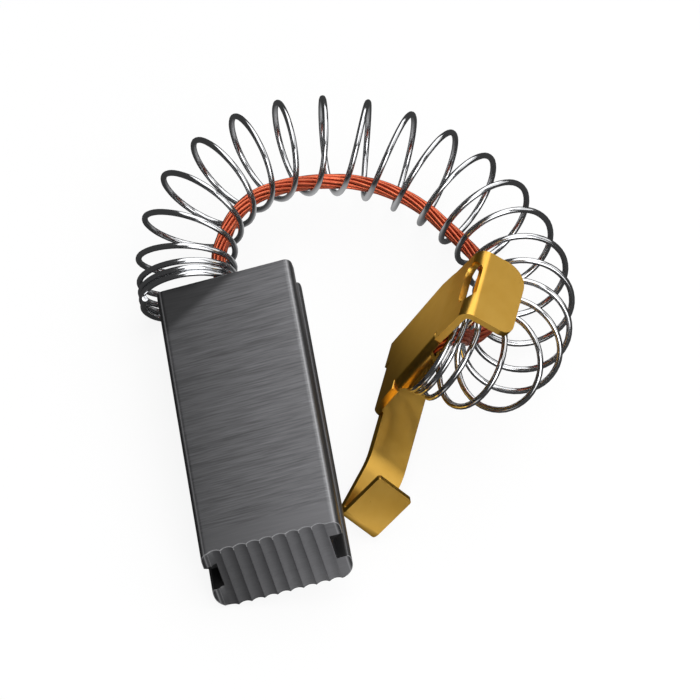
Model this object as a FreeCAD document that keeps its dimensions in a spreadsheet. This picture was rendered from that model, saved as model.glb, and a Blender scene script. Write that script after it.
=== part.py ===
"""Carbon brush of a power-tool motor: block, spring, shunt lead and terminal clip.

Millimetres. The pieces are drawn about the middle of the block's rear end: X across the width,
Y along the length away from the wear face, Z from the back face to the front face. All four then
turn together into the way the brush comes to rest, with +Z up.
"""
import FreeCAD
import Part
import Sketcher

import math
import os

from FreeCAD import Placement, Rotation, Vector

# Driving sizes, one cell each
SIZES = {
    # Carbon block
    "block_width": 12.5,
    "block_thickness": 6.0,
    "block_length": 28.7,
    "wear_bevel": 1.94,
    "groove_depth": 1.15,
    "groove_slant": 0.4,
    "front_flange": 1.42,
    "back_flange": 2.2,
    "front_round": 0.7,
    "back_round": 1.5,
    "end_round": 0.35,
    "lip_round": 0.4,
    "flute_pitch": 1.17,
    "flute_depth": 0.2,
    "flute_count": 9,
    "flute_start": 0.69,
    "shunt_bore": 2.4,
    "shunt_bore_depth": 6.0,
    "shunt_bore_x": -0.6,
    # Spring
    "wire_diameter": 0.55,
    "coil_diameter": 9.2,
    "closed_pitch": 0.6,
    "turns_at_block": 3.67,
    "turns_open": 19.1,
    "turns_at_clip": 2.54,
    "turn_ease": 0.9,
    "first_turn_angle": 329.0,
    "spring_x": -3.7,
    "spring_z": -0.4,
    "seat_x": 4.5,
    "seat_y": -3.27,
    "seat_z": -1.3,
    "steps_per_turn": 12,
    "wire_flats": 8,
    "spring_gap": 0.65,
    # Terminal clip, in its own frame
    "sheet_thickness": 0.65,
    "clip_width": 8.1,
    "first_run": 5.09,
    "second_run": 12.3,
    "crease_angle": 3.3,
    "flange_depth": 4.84,
    "flange_fold": 0.45,
    "fold_radius": 0.25,
    "flange_top_round": 2.0,
    "flange_low_round": 1.1,
    "shoulder_depth": 0.55,
    "shoulder_start": 0.7,
    "shoulder_end": 2.2,
    "slot_length": 4.5,
    "slot_width": 2.0,
    "slot_from_fold": 1.09,
    "slot_from_top": 3.95,
    "free_end": 2.9,
    "relief_width": 0.3,
    "relief_depth": 1.0,
    "wall_splay": 14.0,
    "arm_width": 3.85,
    "arm_drop": 0.79,
    "arm_straight": 5.26,
    "arm_bend": 24.4,
    "arm_bend_radius": 5.0,
    "arm_reach": 7.24,
    "tab_length": 6.75,
    "tab_angle": 25.0,
    "tab_round": 0.3,
    "ear_start": 0.4,
    "ear_end": 8.1,
    "ear_under": 2.9,
    "ear_root_start": 2.1,
    "ear_root_end": 7.9,
    "ear_tip_start": 3.6,
    "ear_tip_end": 6.4,
    "ear_clear": 0.05,
    # Place of the clip and of the spring's end in it
    "clip_x": 17.744,
    "clip_y": -14.148,
    "clip_z": 5.029,
    "clip_yaw": 173.02,
    "clip_pitch": 51.12,
    "clip_roll": 16.08,
    # Unit in which the points of the spring's arc and of the lead's route are given
    "route_unit": 1.0,
    # Shunt lead
    "shunt_diameter": 1.4,
    "crimp_thickness": 0.7,
    "grip_start": 3.0,
    "grip_length": 3.8,
    # How the whole brush lies
    "lie_pitch": -17.65,
    "lie_roll": 2.27,
}


class Size:
    """A size as its number and as its formula over the sheet's cells."""

    def __init__(self, number, formula):
        self.number = number
        self.formula = formula

    def joined(self, sign, other, number):
        return Size(number, f"({self.formula} {sign} {as_size(other).formula})")

    def __add__(self, other):
        return self.joined("+", other, self.number + as_size(other).number)

    def __sub__(self, other):
        return self.joined("-", other, self.number - as_size(other).number)

    def __mul__(self, other):
        return self.joined("*", other, self.number * as_size(other).number)

    def __truediv__(self, other):
        return self.joined("/", other, self.number / as_size(other).number)

    def __neg__(self):
        return Size(-self.number, f"(-1 * {self.formula})")

    __radd__ = __add__
    __rmul__ = __mul__


def as_size(value):
    """Turns a plain number into a size."""
    if isinstance(value, Size):
        return value
    return Size(float(value), repr(float(value)))


def cosine(angle):
    return Size(math.cos(math.radians(angle.number)), f"cos({angle.formula})")


def sine(angle):
    return Size(math.sin(math.radians(angle.number)), f"sin({angle.formula})")


def tangent(angle):
    return Size(math.tan(math.radians(angle.number)), f"tan({angle.formula})")


def arc_tangent(ratio):
    return Size(math.degrees(math.atan(ratio.number)), f"atan({ratio.formula})")


doc = FreeCAD.newDocument("CarbonBrush")
sheet = doc.addObject("Spreadsheet::Sheet", "Sizes")
for row, (alias, value) in enumerate(SIZES.items(), start=1):
    sheet.set(f"A{row}", alias)
    sheet.set(f"B{row}", str(value))
    sheet.setAlias(f"B{row}", alias)
doc.recompute()


def size(alias):
    """Reads one cell of the sheet."""
    return Size(float(sheet.get(alias)), f"Sizes.{alias}")


def bind(thing, path, value):
    """Binds one property of an object to a formula over the sheet."""
    thing.setExpression(path, as_size(value).formula)


# Drawing helpers
def new_body(label):
    body = doc.addObject("PartDesign::Body", label)
    body.Label = label
    return body


def origin_plane(body, role):
    return next(item for item in body.Origin.OriginFeatures if item.Role == role)


def new_sketch(body, role, name, lift=0, turn_axis=None, turn=0, base=None):
    """Sketch on an origin plane, lifted along its normal, and turned about an axis of its own."""
    drawing = body.newObject("Sketcher::SketchObject", name)
    drawing.AttachmentSupport = [(origin_plane(body, role), "")]
    drawing.MapMode = "FlatFace"
    if turn_axis is not None:
        drawing.AttachmentOffset = Placement(Vector(), Rotation(turn_axis, 1.0))
        bind(drawing, "AttachmentOffset.Rotation.Angle", turn)
    place = base if base is not None else (0, 0, lift)
    for letter, value in zip("xyz", place):
        bind(drawing, f"AttachmentOffset.Base.{letter}", value)
    return drawing


def pin(drawing, item, end, point):
    """Holds one end of an item at a point given by two formulas."""
    for kind, value in zip(("DistanceX", "DistanceY"), point):
        value = as_size(value)
        name = f"{kind[-1]}{item}_{end}"
        index = drawing.addConstraint(Sketcher.Constraint(kind, -1, 1, item, end, value.number))
        drawing.renameConstraint(index, name)
        drawing.setExpression(f"Constraints.{name}", value.formula)


def draw_outline(drawing, corners):
    """Closed outline of straight lines through corners that the sheet's sizes set."""
    flat = [Vector(as_size(x).number, as_size(y).number, 0) for x, y in corners]
    for here, there in zip(flat, flat[1:] + flat[:1]):
        drawing.addGeometry(Part.LineSegment(here, there), False)
    for item in range(len(flat)):
        following = (item + 1) % len(flat)
        drawing.addConstraint(Sketcher.Constraint("Coincident", item, 2, following, 1))
    for item, corner in enumerate(corners):
        pin(drawing, item, 1, corner)


def draw_circle(drawing, centre, radius):
    """Circle whose centre and radius the sheet's sizes set."""
    radius = as_size(radius)
    middle = Vector(as_size(centre[0]).number, as_size(centre[1]).number, 0)
    item = drawing.addGeometry(Part.Circle(middle, Vector(0, 0, 1), radius.number), False)
    pin(drawing, item, 3, centre)
    index = drawing.addConstraint(Sketcher.Constraint("Radius", item, radius.number))
    drawing.renameConstraint(index, f"radius{item}")
    drawing.setExpression(f"Constraints.radius{item}", radius.formula)


def draw_obround(drawing, centre, half_length, radius):
    """Upright obround slot about a centre."""
    x, y = (as_size(value) for value in centre)
    r, reach = as_size(radius), as_size(half_length)
    low, high = y - reach, y + reach
    left, right = x - r, x + r
    upper = Part.Circle(Vector(x.number, high.number, 0), Vector(0, 0, 1), r.number)
    lower = Part.Circle(Vector(x.number, low.number, 0), Vector(0, 0, 1), r.number)
    drawing.addGeometry(Part.ArcOfCircle(upper, 0, math.pi), False)
    corner = lambda a, b: Vector(a.number, b.number, 0)
    drawing.addGeometry(Part.LineSegment(corner(left, high), corner(left, low)), False)
    drawing.addGeometry(Part.ArcOfCircle(lower, math.pi, 2 * math.pi), False)
    drawing.addGeometry(Part.LineSegment(corner(right, low), corner(right, high)), False)
    for first, end, second, start in ((0, 2, 1, 1), (1, 2, 2, 1), (2, 2, 3, 1), (3, 2, 0, 1)):
        drawing.addConstraint(Sketcher.Constraint("Coincident", first, end, second, start))
    pin(drawing, 1, 1, (left, high))
    pin(drawing, 1, 2, (left, low))
    pin(drawing, 3, 1, (right, low))
    pin(drawing, 3, 2, (right, high))
    for item, level in ((0, high), (2, low)):
        index = drawing.addConstraint(Sketcher.Constraint("DistanceY", -1, 1, item, 3, level.number))
        drawing.renameConstraint(index, f"level{item}")
        drawing.setExpression(f"Constraints.level{item}", level.formula)


def pad(body, drawing, name, length, reverse=False):
    feature = body.newObject("PartDesign::Pad", name)
    feature.Profile = drawing
    feature.Reversed = reverse
    bind(feature, "Length", length)
    doc.recompute()
    return feature


def pocket(body, drawing, name, length, reverse=False):
    """Cuts a sketch out of the body, and checks that it really took material away."""
    before = body.Shape.Volume
    feature = body.newObject("PartDesign::Pocket", name)
    feature.Profile = drawing
    feature.Reversed = reverse
    bind(feature, "Length", length)
    doc.recompute()
    if not feature.Shape.Volume < before:
        raise RuntimeError(f"{name} cuts nothing")
    return feature


def edges_where(feature, test):
    """Names of the edges of a feature whose middle and direction pass a test."""
    found = []
    for number, edge in enumerate(feature.Shape.Edges, start=1):
        if not isinstance(edge.Curve, Part.Line):
            continue
        middle = edge.valueAt((edge.FirstParameter + edge.LastParameter) / 2)
        along = edge.tangentAt(edge.FirstParameter)
        if test(middle, along):
            found.append(f"Edge{number}")
    return found


def fillet(body, name, radius, test, expected):
    """Rounds the edges that pass a test."""
    base = body.Tip
    names = edges_where(base, test)
    if len(names) != expected:
        raise RuntimeError(f"{name} found {len(names)} edges in place of {expected}")
    feature = body.newObject("PartDesign::Fillet", name)
    feature.Base = (base, names)
    bind(feature, "Radius", radius)
    doc.recompute()
    return feature


def near(value, wanted):
    return abs(value - as_size(wanted).number) < 0.02


# Carbon block
def make_block():
    body = new_body("carbon_block")
    half_width = size("block_width") / 2
    half_thick = size("block_thickness") / 2
    length, bevel = size("block_length"), size("wear_bevel")

    side = new_sketch(body, "YZ_Plane", "BlockSide", lift=-half_width)
    draw_outline(side, [
        (0, -half_thick),
        (0, half_thick),
        (-length, half_thick),
        (-length - bevel, -half_thick),
    ])
    pad(body, side, "BlockBar", size("block_width"))

    # Guide grooves, right through along the length
    floor = half_width - size("groove_depth")
    back_wall = size("back_flange") - half_thick
    front_wall = half_thick - size("front_flange")
    past = half_width + 1
    slope = size("groove_slant") / size("groove_depth")
    for name, hand in (("GrooveRight", 1), ("GrooveLeft", -1)):
        drawing = new_sketch(body, "XZ_Plane", name + "Section", lift=-1)
        draw_outline(drawing, [
            (hand * floor, back_wall),
            (hand * past, back_wall),
            (hand * past, front_wall + slope),
            (hand * floor, front_wall - size("groove_slant")),
        ])
        pocket(body, drawing, name, length + bevel + 2, reverse=True)

    # Bore for the shunt in the rear end
    mouth = new_sketch(body, "XZ_Plane", "BoreMouth")
    draw_circle(mouth, (size("shunt_bore_x"), 0), size("shunt_bore") / 2)
    pocket(body, mouth, "ShuntBore", size("shunt_bore_depth"), reverse=True)

    along = lambda way: abs(way.y) > 0.99
    upright = lambda way: abs(way.z) > 0.99
    fillet(body, "FrontEdges", size("front_round"),
           lambda middle, way: along(way) and near(middle.z, half_thick) and near(abs(middle.x), half_width), 2)
    fillet(body, "BackEdges", size("back_round"),
           lambda middle, way: along(way) and near(middle.z, -half_thick) and near(abs(middle.x), half_width), 2)

    fillet(body, "RearRim", size("end_round"),
           lambda middle, way: upright(way) and near(abs(middle.x), half_width) and near(middle.y, 0), 4)
    fillet(body, "BackLips", size("lip_round"),
           lambda middle, way: along(way) and near(middle.z, back_wall) and near(abs(middle.x), half_width), 2)

    # Flutes of the wear face, along its slope
    pitch, depth = size("flute_pitch"), size("flute_depth")
    flute_radius = (pitch * pitch / 4 + depth * depth) / (2 * depth)
    lean = -arc_tangent(bevel / size("block_thickness"))
    drawing = new_sketch(body, "XY_Plane", "FluteSection", turn_axis=Vector(1, 0, 0), turn=lean,
                         base=(0, -length - bevel / 2, 0))
    first = size("flute_start") - half_width + pitch / 2
    draw_circle(drawing, (first, depth - flute_radius), flute_radius)
    before = body.Shape.Volume
    flute = body.newObject("PartDesign::Pocket", "Flute")
    flute.Profile = drawing
    flute.Type = "ThroughAll"
    flute.SideType = "Symmetric"
    doc.recompute()
    row = body.newObject("PartDesign::LinearPattern", "Flutes")
    row.Originals = [flute]
    row.Direction = (next(item for item in body.Origin.OriginFeatures if item.Role == "X_Axis"), [""])
    bind(row, "Length", pitch * (size("flute_count") - 1))
    bind(row, "Occurrences", size("flute_count"))
    body.Tip = row
    doc.recompute()
    print("flutes take", round(before - body.Shape.Volume, 2), "mm3")
    return body


# Terminal clip
def make_clip():
    body = new_body("terminal_clip")
    sheet_t, width = size("sheet_thickness"), size("clip_width")
    run1, run2 = size("first_run"), size("second_run")
    lean = size("crease_angle")
    c, s = cosine(lean), sine(lean)
    flange = size("flange_depth")
    fold_x, fold_z = -(run1 * c), -(run1 * s)
    tip_x, tip_z = fold_x + flange * s, fold_z - flange * c

    profile = new_sketch(body, "XZ_Plane", "PlateProfile")
    draw_outline(profile, [
        (tip_x, tip_z),
        (fold_x, fold_z),
        (0, 0),
        (run2, 0),
        (run2, -sheet_t),
        (sheet_t * tangent(lean / 2), -sheet_t),
        (fold_x + sheet_t * (c + s), fold_z + sheet_t * (s - c)),
        (tip_x + sheet_t * c, tip_z + sheet_t * s),
    ])
    pad(body, profile, "Plate", width)

    # The folded end is a little narrower than the rest
    shoulder = size("shoulder_depth") - width
    trim = new_sketch(body, "XY_Plane", "ShoulderOutline")
    draw_outline(trim, [
        (-run1 - 2, -width - 1),
        (size("shoulder_end"), -width - 1),
        (size("shoulder_end"), -width),
        (-size("shoulder_start"), shoulder),
        (-run1 - 2, shoulder),
    ])
    pocket(body, trim, "Shoulder", flange + 2)

    flange_in, flange_out = size("flange_fold"), size("flange_fold") + sheet_t
    crosswise = lambda way: abs(way.y) > 0.99
    fillet(body, "FlangeFoldOutside", flange_out,
           lambda m, way: crosswise(way) and near(m.x, fold_x) and near(m.z, fold_z), 1)
    inner_x, inner_z = fold_x + sheet_t * (c + s), fold_z + sheet_t * (s - c)
    fillet(body, "FlangeFoldInside", flange_in,
           lambda m, way: crosswise(way) and near(m.x, inner_x) and near(m.z, inner_z), 1)

    # Corners of the flange
    flat_x, flat_z = tip_x + sheet_t * c / 2, tip_z + sheet_t * s / 2
    def through_flange(m, way):
        return abs(way.x * c.number + way.z * s.number) > 0.99 and near(m.x, flat_x) and near(m.z, flat_z)
    fillet(body, "FlangeTopCorner", size("flange_top_round"),
           lambda m, way: through_flange(m, way) and near(m.y, shoulder), 1)
    fillet(body, "FlangeLowCorner", size("flange_low_round"),
           lambda m, way: through_flange(m, way) and near(m.y, 0), 1)

    # Slot along the fold, square to the first run
    slot = new_sketch(body, "XY_Plane", "SlotOutline", turn_axis=Vector(0, 1, 0), turn=-lean, base=(0, 0, 0))
    reach = (size("slot_length") - size("slot_width")) / 2
    draw_obround(slot, (size("slot_from_fold") - run1, size("slot_from_top") - width), reach, size("slot_width") / 2)
    pocket(body, slot, "Slot", sheet_t * 1.05)

    # Relief cuts beside the arm and the ear
    gap, deep = size("relief_width"), size("relief_depth")
    ear_a, ear_b = size("ear_start"), size("ear_end")
    arm_top = size("free_end") - width
    cuts = {
        "ArmRelief": [(run2 - deep, arm_top), (run2 + 1, arm_top), (run2 + 1, arm_top + gap),
                      (run2 - deep, arm_top + gap)],
        "EarReliefA": [(ear_a - gap, -deep), (ear_a, -deep), (ear_a, 1), (ear_a - gap, 1)],
        "EarReliefB": [(ear_b, -deep), (ear_b + gap, -deep), (ear_b + gap, 1), (ear_b, 1)],
    }
    for name, corners in cuts.items():
        drawing = new_sketch(body, "XY_Plane", name + "Outline")
        draw_outline(drawing, corners)
        pocket(body, drawing, name, sheet_t * 2)

    # Ear rolled under the plate's lower edge, which grips the shunt
    under, grip = size("ear_under"), size("crimp_thickness") + size("ear_clear")
    depth = sheet_t * 2 + grip
    ear = new_sketch(body, "YZ_Plane", "EarProfile", lift=ear_a)
    draw_outline(ear, [
        (0, -sheet_t),
        (0, -depth),
        (-under, -depth),
        (-under, sheet_t - depth),
        (-sheet_t, sheet_t - depth),
        (-sheet_t, -sheet_t),
    ])
    pad(body, ear, "Ear", ear_b - ear_a)
    fold_in, fold_out = size("fold_radius"), size("fold_radius") + sheet_t
    lengthwise = lambda way: abs(way.x) > 0.99
    fillet(body, "EarRollBottom", fold_out,
           lambda m, way: lengthwise(way) and near(m.y, 0) and near(m.z, -depth), 1)
    fillet(body, "EarRollTop", fold_out,
           lambda m, way: lengthwise(way) and near(m.y, 0) and near(m.z, 0) and near(m.x, (ear_a + ear_b) / 2), 1)
    fillet(body, "EarRollInside", fold_in,
           lambda m, way: lengthwise(way) and near(m.y, -sheet_t) and m.z < -sheet_t.number + 0.01, 2)

    # The ear narrows from its root to its tip
    root_a, root_b = size("ear_root_start"), size("ear_root_end")
    tip_a, tip_b = size("ear_tip_start"), size("ear_tip_end")
    tapers = {
        "EarTaperA": [(ear_a - 1, -sheet_t), (root_a, -sheet_t), (tip_a, -depth), (tip_a, -depth - 1),
                      (ear_a - 1, -depth - 1)],
        "EarTaperB": [(ear_b + 1, -sheet_t), (ear_b + 1, -depth - 1), (tip_b, -depth - 1), (tip_b, -depth),
                      (root_b, -sheet_t)],
    }
    for name, corners in tapers.items():
        drawing = new_sketch(body, "XZ_Plane", name + "Outline", lift=-1)
        draw_outline(drawing, corners)
        pocket(body, drawing, name, under + 2, reverse=True)

    # Wall under the plate's end, in a frame of its own that leans out by the splay
    splay = size("wall_splay")
    cs, ss = cosine(splay), sine(splay)
    bottom = arm_top + gap
    drop = size("arm_drop")
    wall = new_sketch(body, "XY_Plane", "WallProfile", turn_axis=Vector(0, 1, 0), turn=-splay, base=(run2, 0, 0))
    draw_outline(wall, [
        (0, bottom),
        (0, 0),
        (-sheet_t, 0),
        (-sheet_t, bottom),
    ])
    pad(body, wall, "Wall", drop + sheet_t, reverse=True)

    # Leaf arm: straight stretch, bend, then the tab folded back
    bend, rise = size("arm_bend"), size("tab_angle")
    straight, reach, tab = size("arm_straight"), size("arm_reach"), size("tab_length")
    lead_y = straight + sheet_t * tangent(bend / 2)
    hook_x, hook_y = reach * sine(bend), straight + reach * cosine(bend)
    half_fold = (as_size(90) - bend - rise) / 2
    middle_way = (as_size(90) - bend + rise) / 2
    inner_x = hook_x - sheet_t * cosine(middle_way) / sine(half_fold)
    inner_y = hook_y - sheet_t * sine(middle_way) / sine(half_fold)
    end_x, end_y = hook_x - tab * cosine(rise), hook_y - tab * sine(rise)
    arm = new_sketch(body, "XY_Plane", "ArmProfile", turn_axis=Vector(0, 1, 0), turn=-splay,
                     base=(run2 + drop * ss, 0, -drop * cs))
    draw_outline(arm, [
        (0, bottom),
        (0, straight),
        (hook_x, hook_y),
        (end_x, end_y),
        (end_x + sheet_t * sine(rise), end_y - sheet_t * cosine(rise)),
        (inner_x, inner_y),
        (-sheet_t, lead_y),
        (-sheet_t, bottom),
    ])
    pad(body, arm, "Arm", size("arm_width"), reverse=True)

    across_arm = Vector(-ss.number, 0, cs.number)
    out_of_wall = Vector(cs.number, 0, ss.number)
    corner = Vector(run2.number, 0, 0)
    def on_arm(m, way, x, y):
        return abs(way.dot(across_arm)) > 0.99 and near((m - corner).dot(out_of_wall), x) and near(m.y, y)
    bend_in = size("arm_bend_radius")
    fillet(body, "ArmBendInside", bend_in, lambda m, way: on_arm(m, way, 0, straight), 1)
    fillet(body, "ArmBendOutside", bend_in + sheet_t, lambda m, way: on_arm(m, way, -sheet_t, lead_y), 1)
    fillet(body, "HookInside", fold_in, lambda m, way: on_arm(m, way, inner_x, inner_y), 1)
    fillet(body, "HookOutside", fold_out, lambda m, way: on_arm(m, way, hook_x, hook_y), 1)
    fillet(body, "WallFoldOutside", fold_out,
           lambda m, way: crosswise(way) and near(m.x, run2) and near(m.z, 0) and m.y > bottom.number, 1)
    wall_in = run2 - sheet_t * (1 - ss.number) / cs.number
    fillet(body, "WallFoldInside", fold_in,
           lambda m, way: crosswise(way) and near(m.x, wall_in) and near(m.z, -sheet_t) and m.y > bottom.number, 1)
    through_tab = out_of_wall * -sine(rise).number + Vector(0, cosine(rise).number, 0)
    tab_end = end_y - sheet_t * cosine(rise) / 2
    fillet(body, "TabCorners", size("tab_round"),
           lambda m, way: abs(way.dot(through_tab)) > 0.99 and near(m.y, tab_end), 2)
    return body


# Spring
def clip_place():
    """Where the clip's own frame lies in the frame of the block's rear end."""
    turn = Rotation(*(size(name).number for name in ("clip_yaw", "clip_pitch", "clip_roll")))
    return Placement(Vector(*(size(name).number for name in ("clip_x", "clip_y", "clip_z"))), turn)


def spring_axis():
    """Smooth line through the middle of the coil, from the block's end to the clip."""
    place = clip_place()
    seat = Vector(*(size(name).number for name in ("seat_x", "seat_y", "seat_z")))
    start = Vector(size("spring_x").number, size("spring_gap").number, size("spring_z").number)
    unit = size("route_unit").number
    points = [start] + [Vector(*point) * unit for point in (
        (-3.22, 5.05, 0.40), (-1.28, 9.39, 0.69), (2.39, 13.14, -0.03), (7.38, 15.34, -1.80),
        (13.12, 15.30, -4.19), (18.75, 12.55, -6.73), (23.00, 7.63, -8.79), (24.89, 1.65, -9.27),
        (24.79, -4.49, -8.26), (23.31, -9.25, -6.11))]
    points += [place.multVec(seat + Vector(*offset) * unit)
               for offset in ((0.25, -1.15, -5.14), (0.03, -0.22, -2.65), (0, 0, 0))]
    curve = Part.BSplineCurve()
    out = place.Rotation.multVec(Vector(0, 0, 1))
    curve.interpolate(Points=points, InitialTangent=Vector(0.03, 0.985, 0.17), FinalTangent=out)
    return curve.toShape()


def turn_positions(length):
    """Angle and distance along the axis of each corner of the wire."""
    first, opened, last = (size(name).number for name in ("turns_at_block", "turns_open", "turns_at_clip"))
    ease, closed = size("turn_ease").number, size("closed_pitch").number
    total = first + opened + last
    count = round(total * size("steps_per_turn").number)
    step = total / count
    shares = []
    for number in range(count):
        turn = (number + 0.5) * step
        rise = 1 + math.tanh((turn - first) / ease)
        fall = 1 + math.tanh((first + opened - turn) / ease)
        shares.append(rise * fall / 4)
    extra = (length - closed * total) / sum(shares)
    along = [0.0]
    for share in shares:
        along.append(along[-1] + closed * step + extra * share)
    start = math.radians(size("first_turn_angle").number)
    print("open pitch", round(closed + extra / step, 3))
    return [(start + 2 * math.pi * number * step, place) for number, place in enumerate(along)]


def coil_points(axis):
    """Corners of the wire's middle line, winding left-handed about the axis."""
    radius = (size("coil_diameter").number - size("wire_diameter").number) / 2
    points = []
    for angle, place in turn_positions(axis.Length):
        spot = axis.getParameterByLength(min(place, axis.Length))
        ahead = axis.tangentAt(spot)
        aside = Vector(0, 0, 1).cross(ahead).normalize()
        above = ahead.cross(aside)
        points.append(axis.valueAt(spot) + aside * radius * math.cos(angle) - above * radius * math.sin(angle))
    return points


def faceted_wire(points, radius, flats):
    """Solid wire with straight steps and flat sides, mitred where the steps meet."""
    steps = [(there - here).normalize() for here, there in zip(points, points[1:])]
    side = steps[0].cross(Vector(0, 0, 1)).normalize()
    up = side.cross(steps[0])
    corners = []
    for number in range(flats):
        angle = 2 * math.pi * (number + 0.5) / flats
        corners.append(points[0] + side * radius * math.cos(angle) + up * radius * math.sin(angle))
    rings = [corners]
    for number in range(1, len(points)):
        ahead = steps[number - 1]
        normal = ahead + steps[number] if number < len(steps) else ahead
        moved = [corner + ahead * ((points[number] - corner).dot(normal) / ahead.dot(normal))
                 for corner in rings[-1]]
        rings.append(moved)
    loops = [Part.makePolygon(ring + ring[:1]) for ring in rings]
    return Part.makeLoft(loops, True, True)


def make_spring():
    axis = spring_axis()
    points = coil_points(axis)
    flats = int(size("wire_flats").number)
    corner_radius = size("wire_diameter").number / 2 * math.sqrt(2 * math.pi / (flats * math.sin(2 * math.pi / flats)))
    spring = doc.addObject("Part::Feature", "spring")
    spring.Label = "spring"
    spring.Shape = faceted_wire(points, corner_radius, flats)
    return spring


# Shunt lead
SHUNT_ROUTE = [
    (-0.5, 4.2, 0.1), (0.4, 6.7, -0.4), (1.7, 9.2, -0.9), (4.0, 10.9, -1.3), (6.8, 12.1, -2.8),
    (9.4, 12.7, -4.3), (12.0, 12.6, -5.3), (14.9, 11.3, -5.9), (17.7, 9.4, -7.2), (19.5, 7.0, -8.4),
    (21.2, 4.3, -8.9), (22.6, 0.8, -8.6), (23.0, -3.2, -6.8), (21.9, -7.2, -5.0),
]
SHUNT_AT_CLIP = [(5.2, -6.4, -4.8), (3.4, -5.0, -3.8), (2.1, -3.7, -2.9), (1.6, -2.5, -1.9)]


def rounded_path(points):
    """Straight runs joined by tangent arcs, each as large as its two runs allow."""
    edges, start, radii = [], points[0], []
    for before, corner, after in zip(points, points[1:], points[2:]):
        back, ahead = (before - corner), (after - corner)
        shorter = min(back.Length, ahead.Length)
        half_turn = (math.pi - back.getAngle(ahead)) / 2
        reach = 0.45 * shorter
        radius = reach / math.tan(half_turn)
        back.normalize()
        ahead.normalize()
        first, last = corner + back * reach, corner + ahead * reach
        middle = (back + ahead).normalize()
        halfway = corner + middle * (radius / math.cos(half_turn) - radius)
        edges.append(Part.LineSegment(start, first).toShape())
        edges.append(Part.Arc(first, halfway, last).toShape())
        start = last
        radii.append(round(radius, 1))
    edges.append(Part.LineSegment(start, points[-1]).toShape())
    print("shunt radii", radii)
    return Part.Wire(edges)


def flat_loop(centre, turn, width, height):
    """Flattened round end: an obround loop in the clip's YZ plane."""
    side, up = turn.multVec(Vector(0, 1, 0)), turn.multVec(Vector(0, 0, 1))
    radius, half = height / 2, (width - height) / 2
    corner = lambda a, b: centre + side * a + up * b
    edges = [
        Part.LineSegment(corner(-half, radius), corner(half, radius)).toShape(),
        Part.Arc(corner(half, radius), corner(half + radius, 0), corner(half, -radius)).toShape(),
        Part.LineSegment(corner(half, -radius), corner(-half, -radius)).toShape(),
        Part.Arc(corner(-half, -radius), corner(-half - radius, 0), corner(-half, radius)).toShape(),
    ]
    return Part.Wire(edges)


def make_shunt():
    place = clip_place()
    radius = size("shunt_diameter").number / 2
    thick = size("crimp_thickness").number
    flat_width = math.pi * radius * radius / thick
    sheet_t = size("sheet_thickness").number
    grip_z = -sheet_t - (thick + size("ear_clear").number) / 2
    grip_y = -sheet_t - flat_width / 2 - 2 * size("ear_clear").number
    grip_a, grip_b = size("grip_start").number, size("grip_start").number + size("grip_length").number
    unit = size("route_unit").number
    entry = Vector(grip_a - 1.2 * unit, grip_y, -sheet_t - radius - size("ear_clear").number)
    bore_x = size("shunt_bore_x").number
    points = [Vector(bore_x, -size("shunt_bore_depth").number, 0), Vector(bore_x, 1.8 * unit, 0)]
    points += [Vector(*point) * unit for point in SHUNT_ROUTE]
    points += [place.multVec(Vector(*point) * unit) for point in SHUNT_AT_CLIP]
    points.append(place.multVec(entry))
    path = rounded_path(points)
    begin = (points[1] - points[0]).normalize()
    circle = Part.Wire(Part.makeCircle(radius, points[0], begin))
    tube = path.makePipeShell([circle], True, False)
    print("shunt length", round(path.Length, 1), "volume", round(tube.Volume, 2),
          "section times length", round(math.pi * radius * radius * path.Length, 2))
    end_way = (points[-1] - points[-2]).normalize()
    round_end = Part.Wire(Part.makeCircle(radius, points[-1], end_way))
    mouth = place.multVec(Vector(grip_a, grip_y, grip_z))
    tail = place.multVec(Vector(grip_b, grip_y, grip_z))
    turn = place.Rotation
    neck = Part.makeLoft([round_end, flat_loop(mouth, turn, flat_width, thick)], True, False)
    flat = Part.Face(flat_loop(mouth, turn, flat_width, thick)).extrude(tail - mouth)
    shunt = doc.addObject("Part::Feature", "shunt")
    shunt.Label = "shunt"
    shunt.Shape = tube.fuse([neck, flat]).removeSplitter()
    return shunt


def make_plug():
    """Copper powder tamped round the lead in the block's bore."""
    outer = doc.addObject("Part::Cylinder", "PlugOutside")
    bind(outer, "Radius", size("shunt_bore") / 2)
    inner = doc.addObject("Part::Cylinder", "PlugInside")
    bind(inner, "Radius", size("shunt_diameter") / 2)
    for item in (outer, inner):
        bind(item, "Height", size("shunt_bore_depth"))
        bind(item, "Placement.Base.x", size("shunt_bore_x"))
        item.Placement.Rotation = Rotation(Vector(1, 0, 0), 90)
    plug = doc.addObject("Part::Cut", "tamped_plug")
    plug.Label = "tamped_plug"
    plug.Base, plug.Tool = outer, inner
    return plug


block = make_block()
clip = make_clip()
spring = make_spring()
shunt = make_shunt()
plug = make_plug()
doc.recompute()

# How the brush lies, and its origin under the middle of its box
clip.Placement = clip_place()
doc.recompute()
PIECES = (block, spring, shunt, plug, clip)
lie = Placement(Vector(), Rotation(0, size("lie_pitch").number, size("lie_roll").number))
for piece in PIECES:
    piece.Placement = lie.multiply(piece.Placement)
doc.recompute()
box = FreeCAD.BoundBox()
for piece in PIECES:
    box.add(piece.Shape.optimalBoundingBox(True, False))
shift = Placement(Vector(-box.Center.x, -box.Center.y, -box.ZMin), Rotation())
for piece in PIECES:
    piece.Placement = shift.multiply(piece.Placement)
doc.recompute()

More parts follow.
